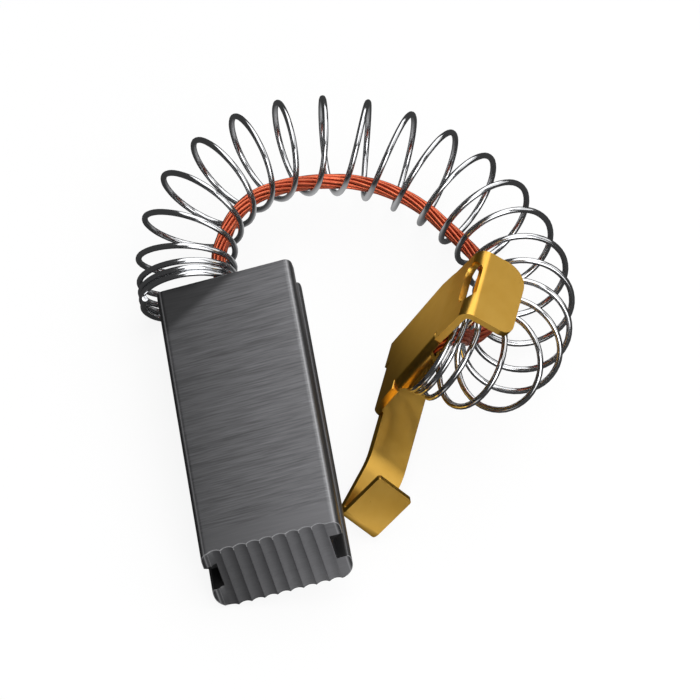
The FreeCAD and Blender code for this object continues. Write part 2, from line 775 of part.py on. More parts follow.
for item in doc.Objects:
    if "Invalid" in item.State or "Error" in item.State:
        raise RuntimeError(f"{item.Name} failed: {item.State}")
for piece in PIECES:
    if piece.Shape.isNull() or not piece.Shape.isValid():
        raise RuntimeError(f"{piece.Label} has no valid shape")
os.makedirs("parts", exist_ok=True)
for piece in PIECES:
    piece.Shape.exportStep(f"parts/{piece.Label}.step")
    print(piece.Label, len(piece.Shape.Solids), round(piece.Shape.Volume, 2))
print("block lies", block.Placement, "clip lies", clip.Placement)
print("box", round(box.XLength, 2), round(box.YLength, 2), round(box.ZLength, 2))
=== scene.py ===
# %% [markdown]
# Carbon brush of a power-tool motor, dressed for a product picture.
# The construction model gives every piece its place and size. This script loads it as a fixed
# frame and gives each piece its finish: ground carbon, bright spring wire, stranded copper and
# rolled brass. Everything is in metres, and millimetres are turned to metres where they appear.

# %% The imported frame
import math

import bmesh
import bpy
from mathutils import Euler, Matrix, Vector


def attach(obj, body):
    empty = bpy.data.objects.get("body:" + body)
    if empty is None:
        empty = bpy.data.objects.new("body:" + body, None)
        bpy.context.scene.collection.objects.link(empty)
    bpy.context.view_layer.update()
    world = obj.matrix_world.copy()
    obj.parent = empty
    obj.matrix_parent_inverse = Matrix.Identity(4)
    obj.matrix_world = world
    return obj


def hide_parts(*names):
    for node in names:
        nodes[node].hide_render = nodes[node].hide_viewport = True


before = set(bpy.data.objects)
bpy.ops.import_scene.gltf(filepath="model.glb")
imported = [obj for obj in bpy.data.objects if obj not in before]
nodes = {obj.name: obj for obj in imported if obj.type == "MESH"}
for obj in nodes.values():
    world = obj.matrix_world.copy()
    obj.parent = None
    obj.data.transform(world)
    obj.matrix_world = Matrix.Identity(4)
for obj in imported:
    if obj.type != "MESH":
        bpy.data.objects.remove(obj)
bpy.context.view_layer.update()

MM = 0.001

# %% [markdown]
# The picture was taken from above the block's wear face with a long lens, held a little askew.
# A camera is placed by an aim point, the direction back to it, its distance and its roll. A
# product picture like this one has almost no perspective, so the lens is long and stands far off.

# %% Camera
CAMERA_AZIMUTH = -13.89
CAMERA_ELEVATION = 51.30
CAMERA_ROLL = 7.15
CAMERA_DISTANCE = 508.4 * MM
CAMERA_AIM = Vector((-3.48, -9.04, 14.47)) * MM
CAMERA_LENS = 299.8
SENSOR_WIDTH = 36
NEAREST_SEEN = 10 * MM

scene = bpy.context.scene
scene.view_settings.view_transform = "Standard"


def direction(azimuth, elevation):
    """Unit vector from the object towards a viewer at this azimuth and elevation, in degrees."""
    a, e = math.radians(azimuth), math.radians(elevation)
    return Vector((math.sin(a) * math.cos(e), -math.cos(a) * math.cos(e), math.sin(e)))


camera_data = bpy.data.cameras.new("product_camera")
camera_data.lens = CAMERA_LENS
camera_data.sensor_width = SENSOR_WIDTH
camera_data.clip_start = NEAREST_SEEN
camera = bpy.data.objects.new("product_camera", camera_data)
scene.collection.objects.link(camera)
back = direction(CAMERA_AZIMUTH, CAMERA_ELEVATION)
camera.location = CAMERA_AIM + back * CAMERA_DISTANCE
level = back.to_track_quat("Z", "Y").to_matrix()
camera.rotation_euler = (level @ Matrix.Rotation(math.radians(CAMERA_ROLL), 3, "Z")).to_euler()
scene.camera = camera
print("camera stands", [round(v, 3) for v in camera.location])

# %% [markdown]
# Two helpers serve every material. One reads a colour as a screen shows it and turns it into the
# linear numbers that light is added up in. The other adds a node, sets it and links it.


# %% Helpers for materials
def linear(code):
    """Hex colour of the screen as linear red, green, blue and alpha."""
    parts = [int(code[place:place + 2], 16) / 255 for place in (1, 3, 5)]
    return [p / 12.92 if p <= 0.04045 else ((p + 0.055) / 1.055) ** 2.4 for p in parts] + [1.0]


def add(tree, kind, inputs=None, **settings):
    """Adds a node, sets its properties, and fills or links its inputs."""
    node = tree.nodes.new(kind)
    for name, value in settings.items():
        setattr(node, name, value)
    for name, value in (inputs or {}).items():
        if isinstance(value, bpy.types.NodeSocket):
            tree.links.new(value, node.inputs[name])
        else:
            node.inputs[name].default_value = value
    return node


def new_material(name):
    """Empty node material with its output, ready for a shader."""
    material = bpy.data.materials.new(name)
    material.use_nodes = True
    tree = material.node_tree
    tree.nodes.clear()
    output = tree.nodes.new("ShaderNodeOutputMaterial")
    return material, tree, output


# %% [markdown]
# The block's own directions. The brush lies tilted, so the block's width, length and thickness
# don't run along the world's axes. A pattern such as the grinding lines has to follow the block,
# so its coordinates are turned back by the angles at which the block lies.

# %% The block's own frame
BLOCK_TURN = Euler((math.radians(2.27), math.radians(-17.65), 0.0))
REAR_END = Vector((-11.639, 5.092, 5.862)) * MM


def block_coordinates(tree):
    """Object coordinates turned into the block's own width, length and thickness, in metres."""
    place = add(tree, "ShaderNodeTexCoord")
    return add(tree, "ShaderNodeMapping", {
        "Vector": place.outputs["Object"], "Location": REAR_END, "Rotation": BLOCK_TURN,
    }, vector_type="TEXTURE").outputs["Vector"]


# %% [markdown]
# Carbon brushes are pressed from graphite powder, baked and then ground to size. Grinding leaves
# fine lines across the width, which catch the light as thin pale and dark streaks, and the baked
# grain shows as tiny pores. The lines are noise stretched along the width. Real ones are finer,
# so these are drawn as coarse as they need to be to show in a picture of this size.

# %% Grinding lines
LINE_SPACING = 0.16 * MM
LINE_STRETCH = (0.05, 1.0, 1.0)
BROAD_SPACING = 1.0 * MM
BROAD_SHARE = 0.25
LINE_LOW, LINE_HIGH = 0.32, 0.68


def grinding_lines(tree, where):
    """Fine lines as they come, and the tone from 0 to 1 that fine and broad ones give together."""
    stretched = add(tree, "ShaderNodeMapping", {"Vector": where, "Scale": LINE_STRETCH})
    lines = add(tree, "ShaderNodeTexNoise", {
        "Vector": stretched.outputs["Vector"], "Scale": 1 / LINE_SPACING, "Detail": 3.0, "Roughness": 0.6})
    broad = add(tree, "ShaderNodeTexNoise", {
        "Vector": stretched.outputs["Vector"], "Scale": 1 / BROAD_SPACING, "Detail": 2.0})
    streaks = add(tree, "ShaderNodeMix", {
        "Factor": BROAD_SHARE, "A": lines.outputs["Fac"], "B": broad.outputs["Fac"]})
    tone = add(tree, "ShaderNodeMapRange", {
        "Value": streaks.outputs["Result"], "From Min": LINE_LOW, "From Max": LINE_HIGH,
        "To Min": 0.0, "To Max": 1.0})
    return lines.outputs["Fac"], tone.outputs["Result"]


# %% [markdown]
# The slanted wear face runs on the motor's copper, which polishes the lines away. A point lies on
# it where its place along the block, less about a third of its place in the thickness, falls
# below one level. Painted light makes the whole block paler from its left side to its right.

# %% Tone of the faces
WEAR_SLOPE = -0.3233
WEAR_LEVEL = -27.48 * MM
WEAR_CALM = 0.75
WEAR_TONE = 0.6
HALF_WIDTH = 6.25 * MM


def face_tone(tree, spot, tone):
    """Grey of the ground carbon, calmer on the wear face, with painted light that makes it paler to the
    right.
    """
    level = add(tree, "ShaderNodeMath", {
        0: spot["Z"], 1: WEAR_SLOPE, 2: spot["Y"]}, operation="MULTIPLY_ADD")
    worn = add(tree, "ShaderNodeMath", {0: level.outputs[0], 1: WEAR_LEVEL}, operation="LESS_THAN")
    calm = add(tree, "ShaderNodeMath", {0: worn.outputs[0], 1: WEAR_CALM}, operation="MULTIPLY")
    calmed = add(tree, "ShaderNodeMix", {"Factor": calm.outputs[0], "A": tone, "B": WEAR_TONE})
    ground_tone = add(tree, "ShaderNodeMix", {
        "Factor": calmed.outputs["Result"], "A": linear("#575759"), "B": linear("#828285")},
        data_type="RGBA")
    # Painted light: the tone grows paler across the width, towards the right side.
    across = add(tree, "ShaderNodeMapRange", {
        "Value": spot["X"], "From Min": -HALF_WIDTH, "From Max": HALF_WIDTH})
    painted_side_light = add(tree, "ShaderNodeMix", {
        "Factor": across.outputs["Result"], "A": linear("#a6a6a6"), "B": linear("#ffffff")},
        data_type="RGBA")
    graded = add(tree, "ShaderNodeMix", {
        "Factor": 1.0, "A": ground_tone.outputs["Result"], "B": painted_side_light.outputs["Result"]},
        data_type="RGBA", blend_type="MULTIPLY")
    return graded.outputs["Result"]


# %% [markdown]
# One rear corner of the front face gets painted shade, darker beyond a slanted line. The narrow
# sides get painted shade too, and a painted highlight runs as a thin pale line where they meet
# the face. Each of these is a tone laid over the last by a factor that is worked out from the
# point's place.

# %% Painted shade on the corner and the narrow sides
CORNER_SLOPE = -0.62
CORNER_START = -1.6 * MM
CORNER_BLEND = 1.2 * MM
CORNER_DEPTH = 0.8
SIDE_SHADE_BAND = 0.34 * MM
RIM_MIDDLE = 5.86 * MM
RIM_HALF = 0.11 * MM
RIM_DEPTH = 0.55
PAINTED_HIGHLIGHT = "#a4a4a6"


def painted_corner_and_sides(tree, spot, side, under):
    """Lays painted shade on the rear corner, a painted highlight line and painted shade on the narrow sides
    over the tone of the faces.
    """
    # Painted shade on the rear corner of the front face.
    corner = add(tree, "ShaderNodeMath", {
        0: spot["X"], 1: CORNER_SLOPE, 2: spot["Y"]}, operation="MULTIPLY_ADD")
    dark = add(tree, "ShaderNodeMapRange", {
        "Value": corner.outputs[0], "From Min": CORNER_START, "From Max": CORNER_START + CORNER_BLEND,
        "To Min": 0.0, "To Max": CORNER_DEPTH}, interpolation_type="SMOOTHSTEP")
    shaded = add(tree, "ShaderNodeMix", {
        "Factor": dark.outputs["Result"], "A": under, "B": linear("#1c1c1d")}, data_type="RGBA")
    # Painted highlight: a thin pale line where the face's round starts beside each narrow side.
    off_rim = add(tree, "ShaderNodeMath", {0: side, 1: RIM_MIDDLE}, operation="SUBTRACT")
    from_rim = add(tree, "ShaderNodeMath", {0: off_rim.outputs[0]}, operation="ABSOLUTE")
    rim_highlight = add(tree, "ShaderNodeMapRange", {
        "Value": from_rim.outputs[0], "From Min": RIM_HALF, "From Max": 0.0,
        "To Min": 0.0, "To Max": RIM_DEPTH})
    rimmed = add(tree, "ShaderNodeMix", {
        "Factor": rim_highlight.outputs["Result"], "A": shaded.outputs["Result"], "B": linear(PAINTED_HIGHLIGHT)},
        data_type="RGBA")
    # Painted shade: the narrow sides are darker.
    side_shade = add(tree, "ShaderNodeMapRange", {
        "Value": side, "From Min": HALF_WIDTH - SIDE_SHADE_BAND, "From Max": HALF_WIDTH - SIDE_SHADE_BAND / 2})
    sided = add(tree, "ShaderNodeMix", {
        "Factor": side_shade.outputs["Result"], "A": rimmed.outputs["Result"], "B": linear("#303031")},
        data_type="RGBA")
    return sided.outputs["Result"]


# %% [markdown]
# Each sharp edge gets a painted highlight, a thin pale line where a rounded edge would catch the
# light. The bevel shader gives the normal that a rounded edge would have. Where it turns away
# from the real one, an edge is near. The ridges between the flutes of the wear face get painted
# shade instead, a dark line.

# %% Painted edge highlights
EDGE_REACH = 0.16 * MM
EDGE_START, EDGE_FULL = 0.995, 0.93
EDGE_DEPTH = 0.8
EDGE_SAMPLES = 8
RIDGE_HALF_WIDTH = 5.3 * MM
RIDGE_TOP = 2.7 * MM


def painted_edge_lights(tree, spot, side, under):
    """Lays painted highlights as pale lines over the sharp edges and painted shade as dark lines over the
    ridges of the wear face.
    """
    flat = add(tree, "ShaderNodeNewGeometry")
    rounded = add(tree, "ShaderNodeBevel", {"Radius": EDGE_REACH}, samples=EDGE_SAMPLES)
    facing = add(tree, "ShaderNodeVectorMath", {
        0: flat.outputs["Normal"], 1: rounded.outputs["Normal"]}, operation="DOT_PRODUCT")
    edge_highlight = add(tree, "ShaderNodeMapRange", {
        "Value": facing.outputs["Value"], "From Min": EDGE_START, "From Max": EDGE_FULL,
        "To Min": 0.0, "To Max": EDGE_DEPTH})
    inner = add(tree, "ShaderNodeMath", {0: side, 1: RIDGE_HALF_WIDTH}, operation="LESS_THAN")
    below = add(tree, "ShaderNodeMath", {0: spot["Z"], 1: RIDGE_TOP}, operation="LESS_THAN")
    ridge = add(tree, "ShaderNodeMath", {0: inner.outputs[0], 1: below.outputs[0]}, operation="MULTIPLY")
    # Painted highlight on the sharp edges, painted shade on the wear face's ridges.
    painted_edge_tone = add(tree, "ShaderNodeMix", {
        "Factor": ridge.outputs[0], "A": linear(PAINTED_HIGHLIGHT), "B": linear("#2e2e2f")}, data_type="RGBA")
    edged = add(tree, "ShaderNodeMix", {
        "Factor": edge_highlight.outputs["Result"], "A": under, "B": painted_edge_tone.outputs["Result"]},
        data_type="RGBA")
    return edged.outputs["Result"]


# %% [markdown]
# The grooves in the narrow sides get painted shade, nearly black, as the last coat of tone. Then
# the whole gets its gloss: graphite is dark and shines a little, so it is a part metallic shader
# of middle roughness, with a low relief from the lines and the pores.

# %% Ground electrographite
GRAIN = 0.10 * MM
GROOVE_FLOOR = 5.05 * MM
GROOVE_MIDDLE = 0.39 * MM
GROOVE_HALF = 1.22 * MM
RELIEF_DEPTH = 0.01 * MM


def painted_groove_shade(tree, spot, side, under):
    """Lays painted shade, nearly black, into both guide grooves."""
    deep = add(tree, "ShaderNodeMath", {0: side, 1: GROOVE_FLOOR}, operation="GREATER_THAN")
    from_middle = add(tree, "ShaderNodeMath", {0: spot["Z"], 1: GROOVE_MIDDLE}, operation="SUBTRACT")
    off_middle = add(tree, "ShaderNodeMath", {0: from_middle.outputs[0]}, operation="ABSOLUTE")
    between = add(tree, "ShaderNodeMath", {0: off_middle.outputs[0], 1: GROOVE_HALF}, operation="LESS_THAN")
    groove = add(tree, "ShaderNodeMath", {0: deep.outputs[0], 1: between.outputs[0]}, operation="MULTIPLY")
    # Painted shade in the grooves.
    groove_shaded = add(tree, "ShaderNodeMix", {
        "Factor": groove.outputs[0], "A": under, "B": linear("#101011")}, data_type="RGBA")
    return groove_shaded.outputs["Result"]


def ground_carbon():
    material, tree, output = new_material("ground_electrographite")
    where = block_coordinates(tree)
    spot = add(tree, "ShaderNodeSeparateXYZ", {"Vector": where}).outputs
    side = add(tree, "ShaderNodeMath", {0: spot["X"]}, operation="ABSOLUTE").outputs[0]
    lines, tone = grinding_lines(tree, where)
    colour = face_tone(tree, spot, tone)
    colour = painted_corner_and_sides(tree, spot, side, colour)
    colour = painted_edge_lights(tree, spot, side, colour)
    colour = painted_groove_shade(tree, spot, side, colour)
    pores = add(tree, "ShaderNodeTexNoise", {"Vector": where, "Scale": 1 / GRAIN, "Detail": 2.0})
    dull = add(tree, "ShaderNodeMapRange", {
        "Value": pores.outputs["Fac"], "To Min": 0.34, "To Max": 0.48})
    relief = add(tree, "ShaderNodeMath", {0: lines, 1: pores.outputs["Fac"]}, operation="ADD")
    bump = add(tree, "ShaderNodeBump", {
        "Height": relief.outputs[0], "Strength": 0.3, "Distance": RELIEF_DEPTH})
    shader = add(tree, "ShaderNodeBsdfPrincipled", {
        "Base Color": colour, "Metallic": 0.2, "Roughness": dull.outputs["Result"],
        "Normal": bump.outputs["Normal"]})
    tree.links.new(shader.outputs["BSDF"], output.inputs["Surface"])
    return material


# %% [markdown]
# Spring wire is drawn through dies, which leaves a bright, smooth skin. It is a plain metal
# shader with low roughness, and a little mottling keeps it from looking like glass.

# %% Bright drawn spring wire
WIRE_MOTTLE = 0.4 * MM


def drawn_steel():
    material, tree, output = new_material("bright_drawn_spring_steel")
    place = add(tree, "ShaderNodeTexCoord")
    mottle = add(tree, "ShaderNodeTexNoise", {
        "Vector": place.outputs["Object"], "Scale": 1 / WIRE_MOTTLE, "Detail": 3.0})
    dull = add(tree, "ShaderNodeMapRange", {
        "Value": mottle.outputs["Fac"], "To Min": 0.12, "To Max": 0.18})
    shader = add(tree, "ShaderNodeBsdfPrincipled", {
        "Base Color": linear("#cbccce"), "Metallic": 1.0, "Roughness": dull.outputs["Result"]})
    tree.links.new(shader.outputs["BSDF"], output.inputs["Surface"])
    return material


# %% [markdown]
# The lead is bare copper, drawn fine and laid up in strands. Fresh copper is a warm orange red,
# and a slow noise lets it go from redder to paler, as handled copper does.

# %% Bare copper strand
TARNISH_SIZE = 0.9 * MM


def copper_strand():
    material, tree, output = new_material("bare_copper_strand")
    place = add(tree, "ShaderNodeTexCoord")
    tarnish = add(tree, "ShaderNodeTexNoise", {
        "Vector": place.outputs["Object"], "Scale": 1 / TARNISH_SIZE, "Detail": 3.0})
    colour = add(tree, "ShaderNodeMix", {
        "Factor": tarnish.outputs["Fac"], "A": linear("#bb4630"), "B": linear("#e07c56")}, data_type="RGBA")
    shader = add(tree, "ShaderNodeBsdfPrincipled", {
        "Base Color": colour.outputs["Result"], "Metallic": 0.85, "Roughness": 0.34})
    tree.links.new(shader.outputs["BSDF"], output.inputs["Surface"])
    return material


# %% [markdown]
# The clip is stamped and folded from rolled brass sheet. Rolling leaves faint lines along the
# strip, and the colour is a deep gold. Brass keeps the metal's own index and takes a colour, a
# roughness and a very low relief. Metals turn white where they are seen at a slant. The tint
# keeps the brass warm there.

# %% Rolled brass sheet
CLIP_TURN = Euler((math.radians(4.632), math.radians(68.012), math.radians(163.386)))
CLIP_CREASE = Vector((3.916, -9.244, 15.497)) * MM
ROLLING_SPACING = 0.12 * MM
ROLLING_STRETCH = (0.06, 1.0, 1.0)
CLOUD_SIZE = 2.5 * MM


def rolled_brass():
    material, tree, output = new_material("rolled_brass_sheet")
    place = add(tree, "ShaderNodeTexCoord")
    turned = add(tree, "ShaderNodeMapping", {
        "Vector": place.outputs["Object"], "Location": CLIP_CREASE, "Rotation": CLIP_TURN},
        vector_type="TEXTURE")
    stretched = add(tree, "ShaderNodeMapping", {
        "Vector": turned.outputs["Vector"], "Scale": ROLLING_STRETCH})
    lines = add(tree, "ShaderNodeTexNoise", {
        "Vector": stretched.outputs["Vector"], "Scale": 1 / ROLLING_SPACING, "Detail": 2.0})
    cloud = add(tree, "ShaderNodeTexNoise", {
        "Vector": turned.outputs["Vector"], "Scale": 1 / CLOUD_SIZE, "Detail": 3.0})
    colour = add(tree, "ShaderNodeMix", {
        "Factor": cloud.outputs["Fac"], "A": linear("#c8983c"), "B": linear("#dcb056")},
        data_type="RGBA")
    dull = add(tree, "ShaderNodeMapRange", {
        "Value": lines.outputs["Fac"], "To Min": 0.24, "To Max": 0.40})
    bump = add(tree, "ShaderNodeBump", {
        "Height": lines.outputs["Fac"], "Strength": 0.12, "Distance": RELIEF_DEPTH})
    shader = add(tree, "ShaderNodeBsdfPrincipled", {
        "Base Color": colour.outputs["Result"], "Metallic": 1.0, "Roughness": dull.outputs["Result"],
        "Specular Tint": linear("#ffe6b0"), "Normal": bump.outputs["Normal"]})
    tree.links.new(shader.outputs["BSDF"], output.inputs["Surface"])
    return material


# %% [markdown]
# Copper powder is tamped round the lead where it enters the block, and sets as a matt brown plug.

# %% Tamped copper powder
GRIT_SIZE = 0.15 * MM
GRIT_DEPTH = 0.05 * MM


def tamped_powder():
    material, tree, output = new_material("tamped_copper_powder")
    place = add(tree, "ShaderNodeTexCoord")
    grit = add(tree, "ShaderNodeTexNoise", {
        "Vector": place.outputs["Object"], "Scale": 1 / GRIT_SIZE, "Detail": 4.0})
    colour = add(tree, "ShaderNodeMix", {
        "Factor": grit.outputs["Fac"], "A": linear("#5e3524"), "B": linear("#a5603f")}, data_type="RGBA")
    bump = add(tree, "ShaderNodeBump", {
        "Height": grit.outputs["Fac"], "Strength": 0.6, "Distance": GRIT_DEPTH})
    shader = add(tree, "ShaderNodeBsdfPrincipled", {
        "Base Color": colour.outputs["Result"], "Metallic": 0.4, "Roughness": 0.62,
        "Normal": bump.outputs["Normal"]})
    tree.links.new(shader.outputs["BSDF"], output.inputs["Surface"])
    return material


CARBON = ground_carbon()
STEEL = drawn_steel()
COPPER = copper_strand()
BRASS = rolled_brass()
POWDER = tamped_powder()
print("materials", [m.name for m in (CARBON, STEEL, COPPER, BRASS, POWDER)])

# %% [markdown]
# The block and the clip keep the construction model's shape. It has the block's large rounds and
# the clip's folds, but its other edges are sharp, where a real edge has a small round. So each
# piece is copied, its loose triangles are merged, its flat faces are made whole, and its sharp
# edges get a fine bevel. A bevel is cut back to fit the piece's shortest edge, so here it stays a
# hairline, and the block's pale edge lines are painted highlights in its material. It still gives
# each sharp edge faces of its own, so that smooth shading doesn't smear across it. The last
# modifier weighs each normal by the size of its face, which keeps large faces flat.

# %% Pieces with softened edges
MERGE_REACH = 0.0005 * MM
FLAT_LIMIT = math.radians(0.6)
SHARP_LIMIT = math.radians(35)
BEVEL_STEPS = 2
FULL_WEIGHT = 100


def softened(node, name, material, width):
    """Copy of a construction node with a hairline round on each sharp edge."""
    mesh = nodes[node].data.copy()
    mesh.name = name
    form = bmesh.new()
    form.from_mesh(mesh)
    bmesh.ops.remove_doubles(form, verts=form.verts, dist=MERGE_REACH)
    bmesh.ops.dissolve_limit(form, angle_limit=FLAT_LIMIT, verts=form.verts, edges=form.edges)
    form.to_mesh(mesh)
    form.free()
    mesh.materials.clear()
    mesh.materials.append(material)
    mesh.shade_smooth()
    piece = bpy.data.objects.new(name, mesh)
    scene.collection.objects.link(piece)
    bevel = piece.modifiers.new("edge_round", "BEVEL")
    bevel.width = width
    bevel.segments = BEVEL_STEPS
    bevel.limit_method = "ANGLE"
    bevel.angle_limit = SHARP_LIMIT
    bevel.use_clamp_overlap = True
    weighted = piece.modifiers.new("even_shading", "WEIGHTED_NORMAL")
    weighted.weight = FULL_WEIGHT
    finished = bpy.data.meshes.new_from_object(piece.evaluated_get(bpy.context.evaluated_depsgraph_get()))
    finished.name = name
    piece.modifiers.clear()
    piece.data = finished
    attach(piece, "root")
    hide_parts(node)
    print(name, "has", len(finished.polygons), "faces")


softened("carbon_block", "ground_block", CARBON, 0.1 * MM)
softened("terminal_clip", "folded_clip", BRASS, 0.05 * MM)

# %% [markdown]
# The construction model draws the spring as a mitred wire with flat sides. Its corners lie on the
# true helix, so the middle of each ring of corners gives a point of the real wire's centre line.
# The rings are found by walking along the mesh from the cut end, one ring after the other. The
# cut end is known by its faces, which have only short edges.

# %% The wire's centre line
WIRE_FLATS = 8
CAP_REACH = 0.7 * MM


def ring_middles(node, flats):
    """Middles of the rings of corners along a faceted wire, in order from one cut end."""
    form = bmesh.new()
    form.from_mesh(nodes[node].data)
    bmesh.ops.remove_doubles(form, verts=form.verts, dist=MERGE_REACH)
    cap = [face for face in form.faces if max(edge.calc_length() for edge in face.edges) < CAP_REACH]
    first = min(cap, key=lambda face: (face.calc_center_median() - REAR_END).length)
    ring = {vert for face in cap for vert in face.verts
            if (vert.co - first.calc_center_median()).length < CAP_REACH}
    seen, middles = set(), []
    while ring:
        if len(ring) != flats:
            raise RuntimeError(f"ring {len(middles)} has {len(ring)} corners")
        middles.append(sum((vert.co for vert in ring), Vector()) / len(ring))
        seen |= ring
        ring = {edge.other_vert(vert) for vert in ring for edge in vert.link_edges} - seen
    form.free()
    return middles


wire_line = ring_middles("spring", WIRE_FLATS)
print("wire has", len(wire_line), "points")

# %% [markdown]
# A coil spring is one wire that follows a rule, so Geometry Nodes sweep it: the centre line is made
# a smooth curve, a circle of the wire's radius runs along it, and both ends are closed.

# %% Helpers for Geometry Nodes
def poly_object(name, points):
    """Mesh of points joined in a row, as raw matter for a node tree."""
    mesh = bpy.data.meshes.new(name)
    joints = [(number, number + 1) for number in range(len(points) - 1)]
    mesh.from_pydata([tuple(point) for point in points], joints, [])
    piece = bpy.data.objects.new(name, mesh)
    scene.collection.objects.link(piece)
    return piece


def new_tree(name, sizes):
    """Geometry Nodes tree with named number inputs and one geometry in and out."""
    tree = bpy.data.node_groups.new(name, "GeometryNodeTree")
    tree.interface.new_socket("Geometry", in_out="INPUT", socket_type="NodeSocketGeometry")
    for label, value in sizes.items():
        kind = "NodeSocketInt" if isinstance(value, int) else "NodeSocketFloat"
        socket = tree.interface.new_socket(label, in_out="INPUT", socket_type=kind)
        socket.default_value = value
    tree.interface.new_socket("Geometry", in_out="OUTPUT", socket_type="NodeSocketGeometry")
    return tree, tree.nodes.new("NodeGroupInput"), tree.nodes.new("NodeGroupOutput")


def bake(piece, tree, name, sizes):
    """Runs a node tree on an object and keeps the result as a plain mesh object."""
    modifier = piece.modifiers.new(name, "NODES")
    modifier.node_group = tree
    for item in tree.interface.items_tree:
        if item.in_out == "INPUT" and item.name in sizes:
            modifier[item.identifier] = sizes[item.name]
    piece.update_tag()
    mesh = bpy.data.meshes.new_from_object(piece.evaluated_get(bpy.context.evaluated_depsgraph_get()))
    mesh.name = name
    piece.modifiers.clear()
    baked = bpy.data.objects.new(name, mesh)
    scene.collection.objects.link(baked)
    bpy.data.objects.remove(piece)
    return baked


# %% Spring wire by Geometry Nodes
WIRE = {"Wire radius": 0.275 * MM, "Steps between points": 4, "Sides": 14}


def wire_tree():
    tree, given, result = new_tree("spring_wire", WIRE)
    curve = add(tree, "GeometryNodeMeshToCurve", {"Mesh": given.outputs["Geometry"]})
    smooth = add(tree, "GeometryNodeCurveSplineType", {
        "Curve": curve.outputs["Curve"]}, spline_type="CATMULL_ROM")
    finer = add(tree, "GeometryNodeSetSplineResolution", {
        "Geometry": smooth.outputs["Curve"], "Resolution": given.outputs["Steps between points"]})
    section = add(tree, "GeometryNodeCurvePrimitiveCircle", {
        "Resolution": given.outputs["Sides"], "Radius": given.outputs["Wire radius"]})
    swept = add(tree, "GeometryNodeCurveToMesh", {
        "Curve": finer.outputs["Geometry"], "Profile Curve": section.outputs["Curve"], "Fill Caps": True})
    round_skin = add(tree, "GeometryNodeSetShadeSmooth", {"Geometry": swept.outputs["Mesh"]})
    real = add(tree, "GeometryNodeRealizeInstances", {"Geometry": round_skin.outputs["Geometry"]})
    finish = add(tree, "GeometryNodeSetMaterial", {"Geometry": real.outputs["Geometry"], "Material": STEEL})
    tree.links.new(finish.outputs["Geometry"], result.inputs["Geometry"])
    return tree


spring = bake(poly_object("wire_line", wire_line), wire_tree(), "spring_wire", WIRE)
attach(spring, "root")
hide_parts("spring")
print("spring has", len(spring.data.polygons), "faces")

# %% [markdown]
# The lead's route is the construction model's, point for point, and a spline of order three runs
# smoothly between its corners. The last points lie in the clip's own frame, under its plate. All
# are in millimetres.

# %% Route of the copper lead
ROUTE_ORDER = 3
ROUTE_STEPS = 12
LEAD_ROUTE = [
    (-0.6, -6.0, 0.0), (-0.6, 1.8, 0.0), (-0.5, 4.2, 0.1), (0.4, 6.7, -0.4), (1.7, 9.2, -0.9),
    (4.0, 10.9, -1.3), (6.8, 12.1, -2.8), (9.4, 12.7, -4.3), (12.0, 12.6, -5.3), (14.9, 11.3, -5.9),
    (17.7, 9.4, -7.2), (19.5, 7.0, -8.4), (21.2, 4.3, -8.9), (22.6, 0.8, -8.6), (23.0, -3.2, -6.8),
    (21.9, -7.2, -5.0),
]
LEAD_AT_CLIP = [
    (5.2, -6.4, -4.8), (3.4, -5.0, -3.8), (2.1, -3.7, -2.9), (1.6, -2.5, -1.9), (1.8, -1.85, -1.4),
    (3.0, -1.85, -1.03), (6.8, -1.85, -1.03),
]
block_place = Matrix.LocRotScale(REAR_END, BLOCK_TURN, None)
clip_place = Matrix.LocRotScale(CLIP_CREASE, CLIP_TURN, None)
lead_points = [block_place @ (Vector(p) * MM) for p in LEAD_ROUTE]
lead_points += [clip_place @ (Vector(p) * MM) for p in LEAD_AT_CLIP]

lead_data = bpy.data.curves.new("lead_line", "CURVE")
lead_data.dimensions = "3D"
spline = lead_data.splines.new("NURBS")
spline.points.add(len(lead_points) - 1)
for point, place in zip(spline.points, lead_points):
    point.co = (*place, 1.0)
spline.order_u = ROUTE_ORDER
spline.use_endpoint_u = True
spline.resolution_u = ROUTE_STEPS
print("lead passes", len(lead_points), "points")
lead_line = bpy.data.objects.new("lead_line", lead_data)
scene.collection.objects.link(lead_line)

# %% [markdown]
# A shunt lead is laid up from many hair-fine wires in a few strands, which turn slowly about its
# middle. Geometry Nodes copy the lead's line once for each strand, push each copy out from the
# middle by an angle that grows along the way, and sweep a circle along it. A core behind them
# stands for the strands inside.

# %% Stranded lead by Geometry Nodes
LEAD = {
    "Strands": 9, "Strand radius": 0.165 * MM, "Lay radius": 0.53 * MM, "Lay length": 26 * MM,
    "Core radius": 0.38 * MM, "Step": 0.35 * MM,
}
STRAND_SIDES = 8
CORE_SIDES = 12


